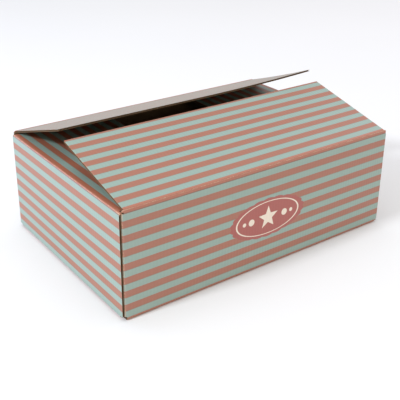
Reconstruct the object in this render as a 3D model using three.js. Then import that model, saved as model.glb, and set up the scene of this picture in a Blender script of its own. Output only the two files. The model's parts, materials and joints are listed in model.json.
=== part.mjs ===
// A regular slotted carton of thin corrugated board, printed with stripes on the outside.
// The bottom is glued shut. The top stands part open: the two short flaps lie level inside the
// rim and the two long flaps lean in above them.
// Millimetres, +Z up. The origin is on the floor under the middle of the carton, +X runs
// along the front wall and +Y from the front wall to the rear wall.
import * as THREE from 'three';

// Driving dimensions
const STRIPE_PITCH = 12.5; // one coral and one mint band of the print
const LENGTH = 24 * STRIPE_PITCH; // outside, left to right
const DEPTH = 16 * STRIPE_PITCH; // outside, front to rear
const HEIGHT = 8 * STRIPE_PITCH; // outside, floor to closed lid
const BOARD = 1.6; // thickness of the corrugated board
const GLUE = 0.3; // thickness of the adhesive between two boards
const FLAP = 98.8; // crease to free edge, the same on all eight flaps
const FOLD_RADIUS = 2; // outside radius of a finished fold
const FLAP_INSET = 4; // the slots stop every flap this far short of the carton's corners

// Top creases
const CREASE_RADIUS = 0.4; // the crushed bead that a top flap turns on
const FLAP_ROOT = 0.7; // a top flap starts this far from its crease's axis
const MITRE_ALLOWANCE = 0.45; // extra room behind the mitre of a long flap
const LONG_CREASE_HEIGHT = BOARD + GLUE; // crushed strip below a long flap's axis
const SHORT_CREASE_HEIGHT = 1.2; // crushed strip below a short flap's axis
const CREASE_SHOULDER = 0.6; // where the strip's outer face starts to round over

// How the flaps stand, in degrees above the horizontal
const FRONT_FLAP_ANGLE = 14.5;
const REAR_FLAP_ANGLE = 18.5;
const SHORT_FLAP_ANGLE = 0;

// The manufacturer's joint, at the front left corner
const TAB_WIDTH = 30;
const TAB_LOW = 6;
const TAB_HIGH = 89;
const TAB_TAPER = 6; // the tab's free edge is this much shorter at each end
const CUT_EDGE_INSET = 0.6; // the left wall's cut edge stands this far behind the front face
const JOINT_GLUE = { width: 20, height: 66 };

// Hot-melt lines under the short bottom flaps
const BOTTOM_GLUE = { length: 60, width: 6, x: 100, y: 48 };

const ARC_STEPS = 8;
const QUARTER = Math.PI / 2;
const LAYER = BOARD + GLUE; // one board further in

const CORAL = '#bd7867';
const MINT = '#a3bfb6';
const KRAFT = '#b08c62';
const ADHESIVE = '#d9c48e';

function piece(name, geometry, color, roughness = 0.85) {
  const material = new THREE.MeshStandardMaterial({ color, roughness, metalness: 0 });
  const mesh = new THREE.Mesh(geometry, material);
  mesh.name = name;
  return mesh;
}

// An outline drawn in (y, z), carried along X.
function carryAlongX(outline, from, to) {
  const geometry = new THREE.ExtrudeGeometry(outline, {
    depth: to - from,
    bevelEnabled: false,
    curveSegments: ARC_STEPS,
  });
  const outlineToYZ = new THREE.Matrix4().makeBasis(
    new THREE.Vector3(0, 1, 0),
    new THREE.Vector3(0, 0, 1),
    new THREE.Vector3(1, 0, 0),
  );
  return geometry.applyMatrix4(outlineToYZ).translate(from, 0, 0);
}

// An outline drawn in (x, y), carried up Z.
function carryUp(outline, from, to) {
  const geometry = new THREE.ExtrudeGeometry(outline, {
    depth: to - from,
    bevelEnabled: false,
    curveSegments: ARC_STEPS,
  });
  return geometry.translate(0, 0, from);
}

function rectangle(left, right, low, high) {
  const outline = new THREE.Shape();
  outline.moveTo(left, low);
  outline.lineTo(right, low);
  outline.lineTo(right, high);
  outline.lineTo(left, high);
  return outline;
}

// A board bent through a right angle, as seen along the fold.
function fold(centreX, centreY, startAngle) {
  const outline = new THREE.Shape();
  outline.absarc(centreX, centreY, FOLD_RADIUS, startAngle, startAngle + QUARTER, false);
  outline.absarc(centreX, centreY, FOLD_RADIUS - BOARD, startAngle + QUARTER, startAngle, true);
  return outline;
}

// The crushed top of a long wall. The axis is on the wall's outer face.
function longCrease() {
  const outline = new THREE.Shape();
  outline.moveTo(0, -LONG_CREASE_HEIGHT);
  outline.lineTo(BOARD, -LONG_CREASE_HEIGHT);
  outline.absarc(0, 0, CREASE_RADIUS, -Math.PI / 4, (4 / 3) * Math.PI, false);
  outline.lineTo(0, -CREASE_SHOULDER);
  return outline;
}

// The crushed top of a short wall. The axis is on the wall's inner face.
function shortCrease() {
  const outline = new THREE.Shape();
  outline.moveTo(-BOARD, -SHORT_CREASE_HEIGHT);
  outline.lineTo(0, -SHORT_CREASE_HEIGHT);
  outline.absarc(0, 0, CREASE_RADIUS, -QUARTER, QUARTER, false);
  outline.lineTo(-BOARD + CREASE_SHOULDER, 0);
  outline.lineTo(-BOARD, -CREASE_SHOULDER);
  return outline;
}

// A long flap hangs on its outer face, and its root is mitred against the wall.
function longFlap() {
  const outline = new THREE.Shape();
  outline.moveTo(FLAP_ROOT, 0);
  outline.lineTo(BOARD + MITRE_ALLOWANCE, -BOARD);
  outline.lineTo(FLAP, -BOARD);
  outline.lineTo(FLAP, 0);
  return outline;
}

// A short flap hangs on its inner face, so that it can fold down inside the carton.
function shortFlap() {
  return rectangle(FLAP_ROOT, FLAP, 0, BOARD);
}

const LONG = {
  outerFace: -DEPTH / 2,
  floor: 0, // height of the bottom crease
  axisInset: 0,
  axisHeight: HEIGHT,
  creaseHeight: LONG_CREASE_HEIGHT,
  crease: longCrease,
  flap: longFlap,
  flapHalfWidth: LENGTH / 2 - FLAP_INSET,
};
const SHORT = {
  outerFace: -LENGTH / 2,
  floor: LAYER,
  axisInset: BOARD,
  axisHeight: HEIGHT - LAYER - BOARD,
  creaseHeight: SHORT_CREASE_HEIGHT,
  crease: shortCrease,
  flap: shortFlap,
  flapHalfWidth: DEPTH / 2 - FLAP_INSET,
};

// The corner folds reach as low and as high as the short walls do.
const CORNER_LOW = SHORT.floor + FOLD_RADIUS;
const CORNER_HIGH = SHORT.axisHeight - SHORT.creaseHeight;

// Each side is drawn as the front is, facing -Y with its wall along X, and turned into place.
// "from" and "to" are the ends of its flat wall.
const FOLDED_LENGTH = LENGTH / 2 - FOLD_RADIUS;
const FOLDED_DEPTH = DEPTH / 2 - FOLD_RADIUS;
const SIDES = [
  { name: 'front', turns: 0, kind: LONG, from: -FOLDED_LENGTH + LAYER, to: FOLDED_LENGTH,
    angle: FRONT_FLAP_ANGLE },
  { name: 'right', turns: 1, kind: SHORT, from: -FOLDED_DEPTH, to: FOLDED_DEPTH,
    angle: SHORT_FLAP_ANGLE },
  { name: 'rear', turns: 2, kind: LONG, from: -FOLDED_LENGTH, to: FOLDED_LENGTH,
    angle: REAR_FLAP_ANGLE },
  { name: 'left', turns: 3, kind: SHORT, from: -FOLDED_DEPTH, to: DEPTH / 2 - CUT_EDGE_INSET,
    angle: SHORT_FLAP_ANGLE },
];

function makeSide({ name, turns, kind, from, to, angle }) {
  const side = new THREE.Group();
  side.rotation.z = turns * QUARTER;
  const { outerFace, floor, axisInset, axisHeight, creaseHeight, flapHalfWidth } = kind;
  const foldCentre = outerFace + FOLD_RADIUS;
  const foldHeight = floor + FOLD_RADIUS;
  const wall = rectangle(outerFace, outerFace + BOARD, foldHeight, axisHeight - creaseHeight);
  const bottomFold = fold(foldCentre, foldHeight, Math.PI);
  const bottomFlap = rectangle(foldCentre, outerFace + FLAP, floor, floor + BOARD);
  side.add(
    piece(`${name}_wall`, carryAlongX(wall, from, to), CORAL),
    piece(`${name}_bottom_fold`, carryAlongX(bottomFold, -flapHalfWidth, flapHalfWidth), CORAL),
    piece(`${name}_bottom_flap`, carryAlongX(bottomFlap, -flapHalfWidth, flapHalfWidth), MINT),
  );

  const crease = piece(
    `${name}_top_crease`,
    carryAlongX(kind.crease(), -flapHalfWidth, flapHalfWidth),
    CORAL,
  );
  crease.position.set(0, outerFace + axisInset, axisHeight);
  side.add(crease);

  const hinge = new THREE.Group();
  hinge.position.copy(crease.position);
  hinge.rotation.x = THREE.MathUtils.degToRad(angle);
  const flap = carryAlongX(kind.flap(), -flapHalfWidth, flapHalfWidth);
  hinge.add(piece(`${name}_top_flap`, flap, MINT));
  side.add(hinge);
  return side;
}

// The three plain vertical corners, between the creases of the short walls.
function makeCornerFolds() {
  const corners = [
    { name: 'front_right', x: 1, y: -1, start: -QUARTER },
    { name: 'rear_right', x: 1, y: 1, start: 0 },
    { name: 'rear_left', x: -1, y: 1, start: QUARTER },
  ];
  return corners.map(({ name, x, y, start }) => {
    const outline = fold(x * FOLDED_LENGTH, y * FOLDED_DEPTH, start);
    return piece(`${name}_corner_fold`, carryUp(outline, CORNER_LOW, CORNER_HIGH), CORAL);
  });
}

// The front wall turns the front left corner inside the left wall and is glued to it.
function makeJoint() {
  const tabFace = -LENGTH / 2 + LAYER; // the tab's outer face
  const tabRoot = -FOLDED_DEPTH;
  const jointFold = fold(tabFace + FOLD_RADIUS, tabRoot, Math.PI);

  const tab = new THREE.Shape();
  tab.moveTo(tabRoot, TAB_LOW);
  tab.lineTo(tabRoot + TAB_WIDTH, TAB_LOW + TAB_TAPER);
  tab.lineTo(tabRoot + TAB_WIDTH, TAB_HIGH - TAB_TAPER);
  tab.lineTo(tabRoot, TAB_HIGH);

  const glue = new THREE.BoxGeometry(GLUE, JOINT_GLUE.width, JOINT_GLUE.height);
  const glueBead = piece('joint_glue', glue, ADHESIVE, 0.4);
  glueBead.position.set(
    tabFace - GLUE / 2,
    tabRoot + TAB_WIDTH / 2,
    (TAB_LOW + TAB_HIGH) / 2,
  );
  return [
    piece('joint_corner_fold', carryUp(jointFold, CORNER_LOW, CORNER_HIGH), CORAL),
    piece('glue_tab', carryAlongX(tab, tabFace, tabFace + BOARD), KRAFT),
    glueBead,
  ];
}

// Four lines of adhesive hold the short bottom flaps down on the long ones.
function makeBottomGlue() {
  const lines = [];
  for (const [side, x] of [['left', -1], ['right', 1]]) {
    for (const [end, y] of [['front', -1], ['rear', 1]]) {
      const bead = new THREE.BoxGeometry(BOTTOM_GLUE.length, BOTTOM_GLUE.width, GLUE);
      const line = piece(`bottom_glue_${end}_${side}`, bead, ADHESIVE, 0.4);
      line.position.set(x * BOTTOM_GLUE.x, y * BOTTOM_GLUE.y, BOARD + GLUE / 2);
      lines.push(line);
    }
  }
  return lines;
}

const carton = new THREE.Group();
carton.add(...SIDES.map(makeSide), ...makeCornerFolds(), ...makeJoint(), ...makeBottomGlue());

export default carton;
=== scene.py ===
"""The looks of a striped corrugated carton, built round its CAD frame.

Every board is made of its three papers: a printed outer liner, a fluted medium and a kraft
inner liner. Each side of the carton is drawn as the front is, along X and facing -Y, and is
then turned into place by quarter turns. On a board, "across" runs along the crease, "along"
runs away from it, and "depth" goes in from the printed face. Metres, +Z up.
"""
import json
import math

import bpy
import numpy as np
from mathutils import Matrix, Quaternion, Vector


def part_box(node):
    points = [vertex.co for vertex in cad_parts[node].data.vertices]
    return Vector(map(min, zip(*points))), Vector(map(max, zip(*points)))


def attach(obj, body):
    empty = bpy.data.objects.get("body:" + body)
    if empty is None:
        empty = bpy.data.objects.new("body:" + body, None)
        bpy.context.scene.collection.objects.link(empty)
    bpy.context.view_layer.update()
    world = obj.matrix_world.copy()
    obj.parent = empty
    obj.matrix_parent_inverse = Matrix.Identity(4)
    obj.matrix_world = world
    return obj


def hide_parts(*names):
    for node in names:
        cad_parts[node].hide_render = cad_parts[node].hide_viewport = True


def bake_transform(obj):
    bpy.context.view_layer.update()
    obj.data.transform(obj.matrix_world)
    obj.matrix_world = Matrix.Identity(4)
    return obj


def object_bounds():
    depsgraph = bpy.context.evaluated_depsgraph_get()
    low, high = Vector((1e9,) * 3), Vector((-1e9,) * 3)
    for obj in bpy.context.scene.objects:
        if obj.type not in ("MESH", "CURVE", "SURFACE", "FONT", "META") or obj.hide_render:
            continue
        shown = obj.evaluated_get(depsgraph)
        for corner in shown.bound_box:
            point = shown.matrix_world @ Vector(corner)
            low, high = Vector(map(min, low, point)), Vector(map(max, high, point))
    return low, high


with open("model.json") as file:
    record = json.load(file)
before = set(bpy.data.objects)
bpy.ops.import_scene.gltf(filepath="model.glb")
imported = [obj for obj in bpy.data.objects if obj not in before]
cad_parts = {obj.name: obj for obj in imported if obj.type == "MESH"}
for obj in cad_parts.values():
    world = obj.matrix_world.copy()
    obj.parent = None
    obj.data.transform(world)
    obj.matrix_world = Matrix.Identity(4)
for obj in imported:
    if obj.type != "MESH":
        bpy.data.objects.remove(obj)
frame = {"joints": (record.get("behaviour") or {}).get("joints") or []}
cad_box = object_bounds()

MM = 0.001
QUARTER = math.pi / 2

# Papers
LINER = 0.22 * MM
MEDIUM = 0.18 * MM
FLUTE_PITCH = 3.3 * MM
FLUTE_TURN = 2 * math.pi / FLUTE_PITCH  # how fast the flutes' wave turns, in radians per metre
FLUTE_STEPS = 8
PLY_GAP = 0.01 * MM
RAW_EDGE_GAP = 2.5 * MM  # the left wall's cut runs along an open flute
SLOT_GAP = 0.7 * MM  # the medium stands back this far at a slotted edge

# Print: coral and mint bands run round the carton, and a coral one is centred on the rim
BANDS = 8
CORAL = (0.365, 0.124, 0.069)
MINT = (0.272, 0.378, 0.328)
CREST_HIGHLIGHT_CORAL = (0.48, 0.145, 0.075)  # a brighter coral on the band round the rim: a painted highlight where the fold turns up to the light
OVERPRINT_AND_SCORE_SHADE = (0.2, 0.085, 0.05)  # where the two inks overlap; under the rim band it is made stronger as a painted shadow of the score
INK_BLUR = 0.06  # the bands blend where their cosine wave is nearer zero than this
# A lighter orange tone along the creases: a painted highlight of the crease bead.
CREASE_HIGHLIGHT_TINT = (0.6, 0.3, 0.2)
BARE_PAPER = (0.62, 0.42, 0.27)
KRAFT = (0.25, 0.157, 0.086)
KRAFT_DARK = (0.14, 0.082, 0.042)
FLECK_DARK = (0.12, 0.07, 0.035)
FLECK_PALE = (0.6, 0.45, 0.29)
ADHESIVE = (0.62, 0.46, 0.2)
ADHESIVE_DARK = (0.46, 0.3, 0.1)

# The badge in the middle of the front wall
BADGE_HALF_WIDTH = 43 * MM
BADGE_HALF_HEIGHT = 19 * MM
BADGE_SCALLOPS = 22
BADGE_SCALLOP_DEPTH = 0.045  # as a share of the oval's reach
BADGE_RING = 0.83  # as a share of the oval's reach
BADGE_STAR = 0.6  # radius, in half heights of the badge
BADGE_DOTS = ((1.0, 0.17), (1.42, 0.1))  # place from the star's middle and radius, the same
BADGE_RED = (0.38, 0.075, 0.056)
BADGE_CREAM = (0.86, 0.74, 0.62)

# Creases
BEAD_RADIUS = 0.4 * MM
FLAP_START = 0.66 * MM  # where a long flap's printed liner begins, from its crease's axis
MITRE = 2.05 * MM  # where a long flap's inner liner begins
SHORT_FLAP_START = 0.7 * MM
KNUCKLE = 2 * MM  # the top creases are pinched down over this length at the corners
KNUCKLE_DROP = 1.1 * MM
CORNER_RISE = 1.6 * MM  # how far the corner folds reach above the short walls
CORE_TOP = -0.32 * MM  # a long crease's crushed core ends here, measured from the axis
CORE_CREST = 0.36 * MM  # how far back the core reaches there
CORE_GAP = 0.1 * MM  # a short crease's core stops this far from the inner face

# How far the boards are from flat
WALL_BOW = 0.5 * MM
FRONT_FLAP_SAG = 0.25 * MM
REAR_CORNER_LIFT = 3.4 * MM

# Camera, aimed close to the middle of the CAD box. The lens shift is part of the framing.
CAMERA_AIM = Vector((0, 0.002, 0.003))
CAMERA_DISTANCE = 0.7233
CAMERA_AZIMUTH = -36.4
CAMERA_ELEVATION = 23.43
CAMERA_ROLL = 0.6
CAMERA_LENS = 66.6
CAMERA_SHIFT = -0.1

# Studio
FLOOR_HALF_WIDTH = 12
FLOOR_COLORS = ((0.87, 0.865, 0.86), (0.89, 0.885, 0.88))
WORLD_STRENGTH = 0.72
SOFTBOXES = (  # name, place, diameter, power, colour
    ("upper_left", (-1.85, 0, 1.4), 0.3, 29, (0.88, 0.94, 1)),
    ("front", (-0.2, -2.0, 0.4), 1.2, 3.8, (1, 0.82, 0.42)),
    ("side", (-1.1, 1.5, 0.25), 0.9, 8, (0.4, 0.5, 1)),
    ("right", (1.6, 0, 1.2), 1.2, 5, (0.95, 0.85, 1)),
    ("top", (0, 0, 2), 1.6, 6, (0.84, 0.92, 1)),
)

FAR = 1.0  # a distance past anything on the carton


# ---------------------------------------------------------------- materials

class Field:
    """A number that varies over a surface. Arithmetic on it makes Math nodes."""

    def __init__(self, tree, socket):
        self.tree, self.socket = tree, socket

    def math(self, operation, *others):
        node = self.tree.nodes.new("ShaderNodeMath")
        node.operation = operation
        for slot, value in zip(node.inputs, (self, *others)):
            connect(self.tree, value, slot)
        return Field(self.tree, node.outputs[0])

    def __add__(self, other):
        return self.math("ADD", other)

    def __sub__(self, other):
        return self.math("SUBTRACT", other)

    def __mul__(self, other):
        return self.math("MULTIPLY", other)

    def __truediv__(self, other):
        return self.math("DIVIDE", other)

    def abs(self):
        return self.math("ABSOLUTE")

    def most(self, other):
        return self.math("MAXIMUM", other)

    def ramp(self, low, high):
        """0 at low, 1 at high, smooth between."""
        node = self.tree.nodes.new("ShaderNodeMapRange")
        node.interpolation_type = "SMOOTHSTEP"
        connect(self.tree, self, node.inputs["Value"])
        node.inputs["From Min"].default_value = low
        node.inputs["From Max"].default_value = high
        return Field(self.tree, node.outputs["Result"])


def connect(tree, value, slot):
    if isinstance(value, Field):
        tree.links.new(value.socket, slot)
    elif isinstance(value, tuple):
        slot.default_value = (*value, 1)
    else:
        slot.default_value = value


class Surface:
    """A Principled material and the nodes that it is drawn with."""

    def __init__(self, name, roughness, specular=0.5):
        self.material = bpy.data.materials.new(name)
        self.material.use_nodes = True
        self.tree = self.material.node_tree
        self.shader = self.tree.nodes["Principled BSDF"]
        self.shader.inputs["Roughness"].default_value = roughness
        self.shader.inputs["Specular IOR Level"].default_value = specular

    def uv(self, layer):
        node = self.tree.nodes.new("ShaderNodeUVMap")
        node.uv_map = layer
        return self.split(node.outputs["UV"])

    def split(self, socket):
        node = self.tree.nodes.new("ShaderNodeSeparateXYZ")
        self.tree.links.new(socket, node.inputs[0])
        return [Field(self.tree, output) for output in node.outputs]

    def point(self, x, y, z=0.0):
        node = self.tree.nodes.new("ShaderNodeCombineXYZ")
        for slot, value in zip(node.inputs, (x, y, z)):
            connect(self.tree, value, slot)
        return Field(self.tree, node.outputs[0])

    def place(self):
        """Where a point is in the carton's own frame."""
        node = self.tree.nodes.new("ShaderNodeTexCoord")
        return Field(self.tree, node.outputs["Object"])

    def noise(self, where, scale, detail=2.0, roughness=0.5):
        node = self.tree.nodes.new("ShaderNodeTexNoise")
        connect(self.tree, where, node.inputs["Vector"])
        node.inputs["Scale"].default_value = scale
        node.inputs["Detail"].default_value = detail
        node.inputs["Roughness"].default_value = roughness
        return Field(self.tree, node.outputs["Fac"])

    def mix(self, share, first, second, blend="MIX"):
        node = self.tree.nodes.new("ShaderNodeMix")
        node.data_type = "RGBA"
        node.blend_type = blend
        connect(self.tree, share, node.inputs["Factor"])
        connect(self.tree, first, node.inputs["A"])
        connect(self.tree, second, node.inputs["B"])
        return Field(self.tree, node.outputs["Result"])

    def finish(self, color, roughness=None, height=None):
        """height is the relief of the surface, in metres."""
        connect(self.tree, color, self.shader.inputs["Base Color"])
        if roughness is not None:
            connect(self.tree, roughness, self.shader.inputs["Roughness"])
        if height is not None:
            bump = self.tree.nodes.new("ShaderNodeBump")
            bump.inputs["Strength"].default_value = 1
            bump.inputs["Distance"].default_value = 1
            connect(self.tree, height, bump.inputs["Height"])
            self.tree.links.new(bump.outputs["Normal"], self.shader.inputs["Normal"])
        return self.material


def star(x, y, radius):
    """How far inside a five-pointed star a point is, as a share of the star's radius."""
    waist = 0.42
    point = 2 * math.pi / 5
    angle = y.math("ARCTAN2", x) - QUARTER
    folded = angle.math("PINGPONG", point / 2)
    distance = (x * x + y * y).math("SQRT")
    along = distance * folded.math("COSINE") / radius
    aside = distance * folded.math("SINE") / radius
    corner_along = waist * math.cos(point / 2)
    corner_aside = waist * math.sin(point / 2)
    edge = math.hypot(1 - corner_along, corner_aside)
    return (along * -corner_aside + corner_aside - aside * (1 - corner_along)) / edge


def disc(x, y, centre, radius):
    """How far inside a disc on the x axis a point is, as a share of its radius."""
    x = x - centre
    return (x * x + y * y).math("SQRT") / -radius + 1.0


def add_badge(surface, color, across, down, middle):
    """A scalloped oval with a ring, a star and two pairs of dots."""
    x = across / BADGE_HALF_WIDTH
    y = (down - middle) / -BADGE_HALF_HEIGHT
    reach = (x * x + y * y).math("SQRT")
    turn = y.math("ARCTAN2", x)
    scallop = (turn * (BADGE_SCALLOPS / 2)).math("SINE").abs() * BADGE_SCALLOP_DEPTH
    field = (reach - scallop).ramp(0.962, 0.955)
    color = surface.mix(field, color, BADGE_RED)
    ring = (reach - BADGE_RING).abs().ramp(0.022, 0.016)
    flat_x = x * (BADGE_HALF_WIDTH / BADGE_HALF_HEIGHT)
    marks = star(flat_x, y, BADGE_STAR).ramp(-0.01, 0.01)
    for centre, radius in BADGE_DOTS:
        for way in (-1, 1):
            dot = disc(flat_x, y, way * centre, radius).ramp(-0.06, 0.06)
            marks = marks.most(dot)
    return surface.mix(ring.most(marks), color, BADGE_CREAM)


def print_material(name, pitch, upright=False, badge_at=None):
    """Ink on a white-topped liner, with a painted highlight along the creases and round the rim,
    and a painted shadow under the top score. upright is for a crease that runs up the carton.
    """
    surface = Surface(name, roughness=0.5, specular=0.9)
    surface.shader.inputs["Coat Weight"].default_value = 0.25
    surface.shader.inputs["Coat Roughness"].default_value = 0.35
    across, down, _ = surface.uv("Print")
    crease, cut, _ = surface.uv("Wear")
    place = surface.place()
    spread = surface.noise(place, 900, detail=3)
    mottle = surface.noise(place, 60, detail=4, roughness=0.6)
    grain = surface.noise(place, 4200, detail=3, roughness=0.7)

    bleed = (spread - 0.5) * (0.3 * MM)
    turn = (down + bleed) * (2 * math.pi / pitch)
    wave = turn.math("COSINE")
    color = surface.mix(wave.ramp(-INK_BLUR, INK_BLUR), MINT, CORAL)
    lower_edge = turn.math("SINE").ramp(-0.1, 0.1)
    crest = down.abs().ramp(pitch * 0.34, pitch * 0.28)
    # A dark line at each coral band's lower edge: ink overlap, and under the rim band also a
    # painted shadow of the score.
    overprint_and_score_shade = wave.abs().ramp(0.32, 0.12) * lower_edge * (crest * 0.55 + 0.35)
    # The coral band round the rim is painted brighter: a painted highlight of the fold.
    color = surface.mix(crest * wave.ramp(-INK_BLUR, INK_BLUR) * 0.5, color, CREST_HIGHLIGHT_CORAL)
    color = surface.mix(overprint_and_score_shade, color, OVERPRINT_AND_SCORE_SHADE)
    if badge_at is not None:
        color = add_badge(surface, color, across + bleed * 0.6, down + bleed * 0.6, badge_at)

    # Uneven ink, darker over the flute tips
    flutes = (across * FLUTE_TURN).math("COSINE")
    tone = (mottle - 0.5) * 0.16 + (grain - 0.5) * 0.22 + flutes * 0.05 + 0.5
    shade = surface.mix(tone, (0.84, 0.84, 0.84), (1.16, 1.16, 1.16))
    color = surface.mix(1.0, color, shade, "MULTIPLY")

    # Ink that is cracked along the creases and rubbed off at cut edges, and a painted highlight
    # along the creases
    stretch = (1400, 160) if upright else (160, 1400)
    streaks = surface.noise(surface.point(across * stretch[0], down * stretch[1]), 1.0, detail=4,
                            roughness=0.65)
    specks = surface.noise(place, 650, detail=5, roughness=0.7)
    near = crease.ramp(0.6 * MM, 0.2 * MM)
    corner = cut.ramp(9 * MM, 1 * MM)
    cracked = (streaks + corner * 0.16 + (specks - 0.5) * 0.9).ramp(0.5, 0.62) * near
    edge = cut.ramp(1.1 * MM, 0.1 * MM)
    rubbed = (specks + edge * 0.16).ramp(0.66, 0.78) * edge
    pinholes = specks.ramp(0.775, 0.82) * 0.6
    bare = cracked.most(rubbed).most(pinholes)
    # A faint lighter orange band along the creases: a painted highlight.
    color = surface.mix(crease.ramp(1.4 * MM, 0.3 * MM) * 0.1, color, CREASE_HIGHLIGHT_TINT)
    color = surface.mix(bare * 0.8, color, BARE_PAPER)

    roughness = (grain - 0.5) * 0.18 + bare * 0.2 + 0.47
    height = (flutes * (0.016 * MM) + grain * (0.012 * MM) + spread * (0.01 * MM)
              - bare * (0.03 * MM))
    return surface.finish(color, roughness, height)


def kraft_material():
    """Brown paper: long pale and dark fibres, flecks, and a faint relief of the flutes."""
    surface = Surface("kraft", roughness=0.85, specular=0.25)
    across, down, _ = surface.uv("Print")
    place = surface.place()
    cloud = surface.noise(place, 70, detail=4, roughness=0.6)
    fibres = surface.noise(surface.point(across * 300, down * 1800), 1.0, detail=4, roughness=0.7)
    flecks = surface.noise(place, 1500, detail=2)
    color = surface.mix(cloud * 0.5 + fibres * 0.6 - 0.05, KRAFT_DARK, KRAFT)
    color = surface.mix(flecks.ramp(0.66, 0.72) * 0.5, color, FLECK_DARK)
    color = surface.mix(flecks.ramp(0.34, 0.28) * 0.4, color, FLECK_PALE)
    flutes = (across * FLUTE_TURN).math("COSINE")
    height = flutes * (0.012 * MM) + fibres * (0.02 * MM) + flecks * (0.01 * MM)
    return surface.finish(color, (fibres - 0.5) * 0.15 + 0.85, height)


def adhesive_material():
    """Set hot-melt: amber, waxy and faintly stringy."""
    surface = Surface("adhesive", roughness=0.35, specular=0.5)
    surface.shader.inputs["Subsurface Weight"].default_value = 0.2
    surface.shader.inputs["Subsurface Radius"].default_value = (0.002, 0.001, 0.0005)
    place = surface.place()
    strings = surface.noise(place, 500, detail=3)
    color = surface.mix(strings, ADHESIVE_DARK, ADHESIVE)
    return surface.finish(color, (strings - 0.5) * 0.3 + 0.38, strings * (0.06 * MM))


# ---------------------------------------------------------------- the carton's sides

class Side:
    """One side of the carton, drawn as the front is. Sizes are read from the frame."""

    def __init__(self, name, turns):
        self.name, self.turns = name, turns
        self.is_long = turns % 2 == 0
        self.wall_low, self.wall_high = self.box("wall")
        fold_low, fold_high = self.box("bottom_fold")
        flap_low, flap_high = self.box("bottom_flap")
        self.outer = self.wall_low.y
        self.board = self.wall_high.y - self.outer
        self.floor = flap_low.z
        self.fold_radius = fold_high.z - fold_low.z
        self.flap_ends = (flap_low.x, flap_high.x)
        self.flap_length = flap_high.y - self.outer
        joint = next(j for j in frame["joints"] if j["child"] == f"{name}_flap")
        _, self.axis_y, self.axis_z = turned(np.array(joint["pos_m"]), -turns)
        # A long flap lies level at its lower limit, and a short one at its upper limit.
        level = joint["range_deg"][0 if self.is_long else 1]
        self.angle = math.radians(-level)

    def box(self, part):
        corners = [turned(np.array(c), -self.turns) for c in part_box(f"{self.name}_{part}")]
        return Vector(np.minimum(*corners)), Vector(np.maximum(*corners))


def turned(points, turns):
    """Points of the drawn front, a number of quarter turns on round the carton."""
    cosine, sine = [(1, 0), (0, 1), (-1, 0), (0, -1)][turns % 4]
    x, y, z = points[..., 0], points[..., 1], points[..., 2]
    return np.stack([cosine * x - sine * y, sine * x + cosine * y, z], axis=-1)


class Panel:
    """A stretch of a side's sheet: where its points lie, what is printed on them and how far
    they are from a crease and from a cut edge."""

    def __init__(self, node, side, across, along, place, down=lambda along: along,
                 crease=lambda across, along: FAR, cut=lambda across, along: FAR,
                 bow=lambda across, along: 0, rows=1, columns=40, gaps=(0, 0)):
        self.node, self.side, self.across, self.along = node, side, across, along
        self.place, self.down, self.crease, self.cut = place, down, crease, cut
        self.bow, self.rows, self.columns = bow, rows, columns
        self.gaps = gaps  # how far the medium stands back at each end


def lines(first, last, count):
    """Grid lines from first to last, closer together near the ends of a long stretch."""
    even = np.linspace(first, last, count + 1)
    if abs(last - first) < 20 * MM:
        return even
    way = math.copysign(1, last - first)
    near = np.array([0.3, 0.7, 1.2, 2, 3.2]) * MM * way
    return np.sort(np.concatenate([even, first + near, last - near]) * way) * way


def grid_faces(columns, rows):
    """Corner numbers of the two skins and the four rims of a closed layer."""
    count = columns * rows
    index = np.arange(count).reshape(rows, columns)
    skin = np.stack([index[:-1, :-1], index[:-1, 1:], index[1:, 1:], index[1:, :-1]], axis=-1)
    skin = skin.reshape(-1, 4)
    loop = np.concatenate([index[0, :], index[1:, -1], index[-1, -2::-1], index[-2:0:-1, 0]])
    ahead = np.roll(loop, -1)
    rims = np.stack([loop, loop + count, ahead + count, ahead], axis=-1)
    return skin, (skin + count)[:, ::-1], rims


def layer(panel, name, outer, inner, materials, start=None, across=None):
    """One closed paper layer of a panel, between two depths that may vary across it.
    The first material is its printed face, and the second is the rest of it."""
    first = panel.along[0] if start is None else start
    along = lines(first, panel.along[1], panel.rows)
    across = lines(*panel.across, panel.columns) if across is None else across
    across, along = np.meshgrid(across, along)
    skins = []
    for depth in (outer, inner):
        depth = depth(across) if callable(depth) else depth
        x, y, z = panel.place(across, along, depth - panel.bow(across, along))
        skins.append(np.stack(np.broadcast_arrays(x, y, z), axis=-1).reshape(-1, 3))
    points = turned(np.concatenate(skins), panel.side.turns)
    front, back, rims = grid_faces(across.shape[1], across.shape[0])
    if facing_in(points, front, panel):
        front, back, rims = front[:, ::-1], back[:, ::-1], rims[:, ::-1]

    mesh = bpy.data.meshes.new(name)
    mesh.from_pydata(points.tolist(), [], np.concatenate([front, back, rims]).tolist())
    for material in materials:
        mesh.materials.append(material)
    skin_count = len(front)
    number = np.arange(len(mesh.polygons))
    mesh.polygons.foreach_set("material_index", (number >= skin_count).astype(np.int32))
    mesh.polygons.foreach_set("use_smooth", number < 2 * skin_count)
    corners = np.zeros(len(mesh.loops), np.int32)
    mesh.loops.foreach_get("vertex_index", corners)
    down = panel.down(along)
    crease = np.broadcast_to(panel.crease(across, along), across.shape)
    cut = np.broadcast_to(panel.cut(across, along), across.shape)
    for layer_name, u, v in (("Print", across, down), ("Wear", crease, cut)):
        both = np.tile(np.stack([u, v], axis=-1).reshape(-1, 2), (2, 1))
        uv = mesh.uv_layers.new(name=layer_name)
        uv.data.foreach_set("uv", both[corners].astype(np.float32).ravel())
    piece = bpy.data.objects.new(name, mesh)
    bpy.context.scene.collection.objects.link(piece)
    return piece


def facing_in(points, front, panel):
    """Whether the outer skin, as numbered, faces the inner one."""
    a, b, c = points[front[len(front) // 2][:3]]
    inward = points[front[len(front) // 2][0] + len(points) // 2] - a
    return np.dot(np.cross(b - a, c - a), inward) > 0


def belong(piece, panel, body):
    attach(piece, body)
    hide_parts(panel.node)


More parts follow.
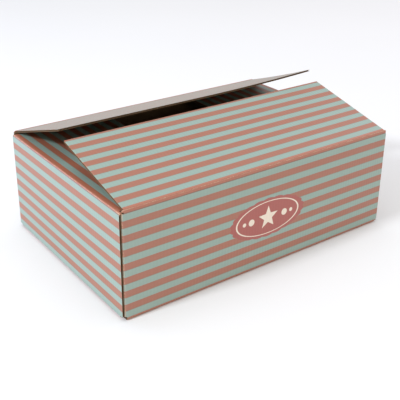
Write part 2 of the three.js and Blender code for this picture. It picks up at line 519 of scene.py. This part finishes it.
def make_board(panel, body, papers, starts=(None, None, None)):
    """Outer liner, fluted medium and inner liner. starts says where each one begins."""
    board = panel.side.board
    middle = board / 2
    swing = middle - LINER - MEDIUM / 2 - PLY_GAP

    def flute(across):
        return middle + swing * np.cos(across * FLUTE_TURN)

    left, right = panel.across[0] + panel.gaps[0], panel.across[1] - panel.gaps[1]
    steps = round((right - left) / FLUTE_PITCH * FLUTE_STEPS)
    printed, kraft = papers
    outer = layer(panel, f"{panel.node}_outer_liner", 0, LINER, (printed, kraft), starts[0])
    medium = layer(
        panel, f"{panel.node}_medium", lambda s: flute(s) - MEDIUM / 2,
        lambda s: flute(s) + MEDIUM / 2, (kraft, kraft), starts[1],
        np.linspace(left, right, steps + 1),
    )
    inner = layer(panel, f"{panel.node}_inner_liner", board - LINER, board, (kraft, kraft),
                  starts[2])
    belong(outer, panel, body)
    belong(medium, panel, body)
    belong(inner, panel, body)


def make_fold(panel, papers, core_depth=None):
    """A board bent along a score: its printed liner over a crushed core."""
    printed, kraft = papers
    skin = layer(panel, f"{panel.node}_liner", 0, LINER, (printed, kraft))
    bottom = panel.side.board if core_depth is None else core_depth
    core = layer(panel, f"{panel.node}_core", LINER + PLY_GAP, bottom, (kraft, kraft))
    return skin, core


# ---------------------------------------------------------------- panels of a side

def wall_panel(side, rim):
    low, high = side.wall_low, side.wall_high
    top, bottom = rim - high.z, rim - low.z
    raw_edge = side.name == "left"

    def place(across, along, depth):
        return across, side.outer + depth, rim - along

    def crease(across, along):
        upright = across - low.x
        if not raw_edge:
            upright = np.minimum(upright, high.x - across)
        return np.minimum(upright, np.minimum(along - top, bottom - along)) + side.fold_radius

    def cut(across, along):
        return high.x - across if raw_edge else FAR

    def bow(across, along):
        wide = (across - low.x) * (high.x - across) / ((high.x - low.x) / 2) ** 2
        tall = (along - top) * (bottom - along) / ((bottom - top) / 2) ** 2
        return WALL_BOW * wide * tall

    return Panel(f"{side.name}_wall", side, (low.x, high.x), (top, bottom), place,
                 crease=crease, cut=cut, bow=bow, rows=24, columns=60,
                 gaps=(0, RAW_EDGE_GAP if raw_edge else 0))


def bottom_fold_panel(side, rim):
    radius = side.fold_radius
    start = rim - side.wall_low.z
    length = radius * QUARTER
    left, right = side.flap_ends

    def place(across, along, depth):
        angle = (along - start) / radius
        y = side.outer + radius - (radius - depth) * np.cos(angle)
        z = side.wall_low.z - (radius - depth) * np.sin(angle)
        return across, y, z

    def crease(across, along):
        return np.abs(along - start - length / 2)

    def cut(across, along):
        return np.minimum(across - left, right - across)

    return Panel(f"{side.name}_bottom_fold", side, (left, right), (start, start + length),
                 place, crease=crease, cut=cut, rows=8, columns=60)


def bottom_flap_panel(side, rim):
    start = rim - side.wall_low.z + side.fold_radius * QUARTER
    root = side.outer + side.fold_radius
    length = side.flap_length - side.fold_radius
    left, right = side.flap_ends

    def place(across, along, depth):
        return across, root + along, side.floor + depth

    def cut(across, along):
        return np.minimum(np.minimum(across - left, right - across), length - along)

    return Panel(f"{side.name}_bottom_flap", side, (left, right), (0, length), place,
                 down=lambda along: along + start,
                 crease=lambda across, along: along + side.fold_radius, cut=cut,
                 rows=12, columns=60, gaps=(SLOT_GAP, SLOT_GAP))


def long_flap_panel(side):
    """A long flap turns on its outer face, which goes through the axis."""
    left, right = side.flap_ends
    length = side.flap_length
    cosine, sine = math.cos(side.angle), math.sin(side.angle)

    def place(across, along, depth):
        y = side.axis_y + along * cosine + depth * sine
        z = side.axis_z + along * sine - depth * cosine
        return across, y, z

    def cut(across, along):
        return np.minimum(np.minimum(across - left, right - across), length - along)

    def front_bow(across, along):
        return -FRONT_FLAP_SAG * (along / length) ** 2 * (1 - (across / right) ** 2)

    def rear_bow(across, along):
        # The corner over the right wall is curled up.
        share = np.clip(-across / right, 0, 1)
        return REAR_CORNER_LIFT * share**2 * (along / length) ** 2

    return Panel(f"{side.name}_top_flap", side, (left, right), (FLAP_START, length), place,
                 down=lambda along: -along, crease=lambda across, along: along, cut=cut,
                 bow=front_bow if side.name == "front" else rear_bow, rows=24, columns=60,
                 gaps=(SLOT_GAP, SLOT_GAP))


def short_flap_root(side, rim):
    """How far down the print a short flap's outer face begins."""
    return rim - side.axis_z - side.board * (QUARTER - side.angle)


def short_flap_panel(side, rim):
    """A short flap turns on its inner face, so its outer face rides a board above the axis."""
    left, right = side.flap_ends
    length = side.flap_length
    cosine, sine = math.cos(side.angle), math.sin(side.angle)
    root = short_flap_root(side, rim)

    def place(across, along, depth):
        y = side.axis_y + along * cosine - (side.board - depth) * sine
        z = side.axis_z + along * sine + (side.board - depth) * cosine
        return across, y, z

    def cut(across, along):
        return np.minimum(np.minimum(across - left, right - across), length - along)

    return Panel(f"{side.name}_top_flap", side, (left, right), (SHORT_FLAP_START, length),
                 place, down=lambda along: root - along,
                 crease=lambda across, along: along + side.board, cut=cut,
                 rows=16, columns=40, gaps=(SLOT_GAP, SLOT_GAP))


def pinch(across, left, right):
    """How far a top crease drops towards the carton's corners."""
    end = np.minimum(across - left, right - across)
    return KNUCKLE_DROP * (1 - np.clip(end / KNUCKLE, 0, 1)) ** 2


def long_crease_panel(side, rim):
    """The crushed top of a long wall, ending in the bead that its flap turns on."""
    left, right = -side.wall_high.x, side.wall_high.x
    shoulder = 0.62 * MM
    bead_top = 0.38 * MM
    bead_end = -1.6 * MM
    bead_from, bead_to = math.radians(250), math.radians(-40)

    def place(across, along, depth):
        straight = np.clip((along - bead_top) / (shoulder - bead_top), 0, 1)
        share = np.clip((bead_top - along) / (bead_top - bead_end), 0, 1)
        angle = bead_from + (bead_to - bead_from) * share
        reach = BEAD_RADIUS - depth
        y_bead, z_bead = reach * np.cos(angle), reach * np.sin(angle)
        y_wall, z_wall = depth + 0 * along, -along
        drop = pinch(across, left, right) * np.clip((shoulder - along) / shoulder, 0, 1)
        y = side.axis_y + y_bead + (y_wall - y_bead) * straight
        z = side.axis_z + z_bead + (z_wall - z_bead) * straight - drop
        return across, y + drop / 2, z

    def cut(across, along):
        return np.minimum(across - left, right - across)

    return Panel(f"{side.name}_top_crease", side, (left, right),
                 (rim - side.wall_high.z, bead_end), place,
                 crease=lambda across, along: np.abs(along), cut=cut, rows=30, columns=60)


def short_crease_panel(side, rim):
    """The fold at the top of a short wall, from the wall round the axis to the flap."""
    left, right = side.wall_low.x, side.wall_high.x
    turn = QUARTER - side.angle
    wall_top = rim - side.axis_z
    arc_end = wall_top - side.board * turn
    cosine, sine = math.cos(side.angle), math.sin(side.angle)

    def place(across, along, depth):
        angle = np.clip((wall_top - along) / side.board, 0, turn)
        reach = side.board - depth
        below = np.maximum(along - wall_top, 0)
        beyond = np.maximum(arc_end - along, 0)
        drop = pinch(across, left, right) * np.clip((wall_top - along) / side.board, 0, 1)
        y = side.axis_y - reach * np.cos(angle) + beyond * cosine
        z = side.axis_z + reach * np.sin(angle) - below + beyond * sine - drop
        return across, y + drop / 2, z

    def cut(across, along):
        return np.minimum(across - left, right - across)

    return Panel(f"{side.name}_top_crease", side, (left, right),
                 (rim - side.wall_high.z, arc_end - SHORT_FLAP_START), place,
                 crease=lambda across, along: np.abs(along - (wall_top + arc_end) / 2), cut=cut,
                 rows=20, columns=60)


# ---------------------------------------------------------------- building

def make_long_crease_core(side, kraft):
    """The crushed board behind the printed bead, mitred to let the flap stand."""
    low, high = side.wall_high.z - side.axis_z, CORE_TOP
    panel = long_crease_panel(side, side.axis_z)
    left, right = panel.across

    def place(across, along, depth):
        along = along * (1 - pinch(across, left, right) / (high - low))
        share = along / (high - low)
        back = side.board * (1 - share) + CORE_CREST * share
        front = LINER + PLY_GAP
        return across, side.axis_y + front + (back - front) * depth, side.axis_z + low + along

    block = Panel(panel.node, side, (left, right), (0, high - low), place, columns=60, rows=4)
    core = layer(block, f"{panel.node}_core", 0, 1, (kraft, kraft))
    belong(core, block, "carton")


def make_side(side, rim, prints, kraft):
    papers = (prints["plain"], kraft)
    wall_papers = (prints["badge"], kraft) if side.name == "front" else papers
    make_board(wall_panel(side, rim), "carton", wall_papers)
    fold = bottom_fold_panel(side, rim)
    for piece, slot in zip(make_fold(fold, papers), ("printed_board", "kraft_board")):
        belong(piece, fold, "carton")
    make_board(bottom_flap_panel(side, rim), "carton", papers)

    body = f"{side.name}_flap"
    if side.is_long:
        make_board(long_flap_panel(side), body, papers, (FLAP_START, side.board, MITRE))
        crease = long_crease_panel(side, rim)
        skin = layer(crease, f"{crease.node}_liner", 0, LINER, papers)
        belong(skin, crease, "carton")
        make_long_crease_core(side, kraft)
        return
    make_board(short_flap_panel(side, rim), body, papers)
    crease = short_crease_panel(side, rim)
    pieces = make_fold(crease, papers, side.board - CORE_GAP)
    for piece, slot in zip(pieces, ("printed_board", "kraft_board")):
        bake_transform(piece)
        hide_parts(crease.node)


def corner_panel(node, side, rim):
    """A plain corner of the carton, past the right end of a side."""
    low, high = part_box(node)
    radius = side.fold_radius
    edge = side.wall_high.x
    top, bottom = rim - high.z - CORNER_RISE, rim - low.z
    length = radius * QUARTER

    def place(across, along, depth):
        angle = (across - edge) / radius
        narrow = np.clip(1 - (along - top) / KNUCKLE, 0, 1) ** 2 * radius / 4
        reach = radius - narrow - depth
        x = edge + reach * np.sin(angle)
        y = side.outer + radius - reach * np.cos(angle)
        return x, y, rim - along

    return Panel(node, side, (edge, edge + length), (top, bottom), place,
                 crease=lambda across, along: np.abs(across - edge - length / 2),
                 cut=lambda across, along: np.minimum(along - top, bottom - along),
                 rows=24, columns=8)


def joint_panel(node, side, rim):
    """The front wall's left end turns in behind the left wall."""
    low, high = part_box(node)
    radius = side.fold_radius
    edge = side.wall_low.x
    top, bottom = rim - high.z - CORNER_RISE, rim - low.z
    length = radius * QUARTER

    def place(across, along, depth):
        angle = (edge - across) / radius
        x = edge - (radius - depth) * np.sin(angle)
        y = side.outer + radius - (radius - depth) * np.cos(angle)
        return x, y, rim - along

    return Panel(node, side, (edge - length, edge), (top, bottom), place,
                 crease=lambda across, along: np.abs(edge - across - length / 2),
                 cut=lambda across, along: np.minimum(along - top, bottom - along),
                 rows=24, columns=8)


def tab_panel(node, side):
    """The glued tab, narrower at its free edge."""
    low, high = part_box(node)
    taper = (high.y - low.y) / 5

    def place(across, along, depth):
        inset = taper * (across - low.y) / (high.y - low.y)
        z = (high.z - inset) + (low.z + inset - (high.z - inset)) * along
        return low.x + depth, across, z

    return Panel(node, side, (low.y, high.y), (0, 1), place, rows=12, columns=12)


def make_glue(node, side, material):
    """A pressed line of adhesive: round ended, with a wavy outline."""
    low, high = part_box(node)
    size = [h - l for l, h in zip(low, high)]
    thin = size.index(min(size))
    long, wide = sorted((i for i in range(3) if i != thin), key=lambda i: -size[i])
    middle = [(l + h) / 2 for l, h in zip(low, high)]

    def place(across, along, depth):
        across_share, along_share = across * 2 - 1, along * 2 - 1
        taper = np.sqrt(np.clip(1 - along_share**6, 0.02, 1))
        wave = 1 - 0.12 * (1 + np.sin(along_share * 19 + middle[long] * 300)) / 2
        point = [None] * 3
        point[long] = middle[long] + size[long] / 2 * along_share
        point[wide] = middle[wide] + size[wide] / 2 * across_share * taper * wave
        dome = 1 - 0.35 * across_share**4
        point[thin] = middle[thin] + size[thin] / 2 * depth * dome
        return point

    panel = Panel(node, side, (0, 1), (0, 1), place, rows=60, columns=10)
    bead = layer(panel, f"{node}_bead", -1, 1, (material, material))
    belong(bead, panel, "carton")


def make_carton():
    sides = {name: Side(name, turns)
             for turns, name in enumerate(("front", "right", "rear", "left"))}
    front = sides["front"]
    rim = front.axis_z
    pitch = rim / BANDS
    kraft = kraft_material()
    adhesive = adhesive_material()
    prints = {
        "plain": print_material("printed_liner", pitch),
        "upright": print_material("printed_liner_corner", pitch, upright=True),
        "badge": print_material("printed_liner_badge", pitch, badge_at=rim / 2),
    }
    for side in sides.values():
        make_side(side, rim, prints, kraft)

    upright = (prints["upright"], kraft)
    corners = {"front_right": "front", "rear_right": "right", "rear_left": "rear"}
    for name, side in corners.items():
        panel = corner_panel(f"{name}_corner_fold", sides[side], rim)
        for piece, slot in zip(make_fold(panel, upright), ("printed_board", "kraft_board")):
            belong(piece, panel, "carton")
    panel = joint_panel("joint_corner_fold", front, rim)
    for piece, slot in zip(make_fold(panel, upright), ("printed_board", "kraft_board")):
        belong(piece, panel, "carton")

    make_board(tab_panel("glue_tab", front), "carton", (kraft, kraft))
    make_glue("joint_glue", front, adhesive)
    for end in ("front", "rear"):
        for hand in ("left", "right"):
            make_glue(f"bottom_glue_{end}_{hand}", front, adhesive)


# ---------------------------------------------------------------- studio

def make_floor():
    half = FLOOR_HALF_WIDTH
    mesh = bpy.data.meshes.new("floor")
    corners = [(x, y, 0) for x, y in ((-half, -half), (half, -half), (half, half), (-half, half))]
    mesh.from_pydata(corners, [], [(0, 1, 2, 3)])
    surface = Surface("floor", roughness=0.9, specular=0.1)
    faint = surface.noise(surface.place(), 3, detail=2)
    mesh.materials.append(surface.finish(surface.mix(faint, *FLOOR_COLORS)))
    floor = bpy.data.objects.new("floor", mesh)
    bpy.context.scene.collection.objects.link(floor)


def make_softbox(name, place, size, power, color):
    data = bpy.data.lights.new(name, "AREA")
    data.shape = "DISK"
    data.size = size
    data.energy = power
    data.color = color
    light = bpy.data.objects.new(name, data)
    light.location = place
    light.rotation_mode = "QUATERNION"
    light.rotation_quaternion = (-Vector(place)).to_track_quat("-Z", "Y")
    bpy.context.scene.collection.objects.link(light)


def make_studio():
    scene = bpy.context.scene
    scene.view_settings.view_transform = "Standard"
    world = bpy.data.worlds.new("studio")
    world.use_nodes = True
    background = world.node_tree.nodes["Background"]
    background.inputs["Color"].default_value = (1, 1, 1, 1)
    background.inputs["Strength"].default_value = WORLD_STRENGTH
    scene.world = world
    for softbox in SOFTBOXES:
        make_softbox(*softbox)
    make_floor()


def make_camera():
    data = bpy.data.cameras.new("camera")
    data.lens = CAMERA_LENS
    data.shift_y = CAMERA_SHIFT
    camera = bpy.data.objects.new("camera", data)
    azimuth, elevation = math.radians(CAMERA_AZIMUTH), math.radians(CAMERA_ELEVATION)
    back = Vector((math.sin(azimuth) * math.cos(elevation),
                   -math.cos(azimuth) * math.cos(elevation), math.sin(elevation)))
    middle = (cad_box[0] + cad_box[1]) / 2
    camera.location = middle + CAMERA_AIM + back * CAMERA_DISTANCE
    roll = Quaternion((0, 0, 1), math.radians(CAMERA_ROLL))
    camera.rotation_mode = "QUATERNION"
    camera.rotation_quaternion = (-back).to_track_quat("-Z", "Y") @ roll
    bpy.context.scene.collection.objects.link(camera)
    bpy.context.scene.camera = camera


make_camera()
make_studio()
make_carton()
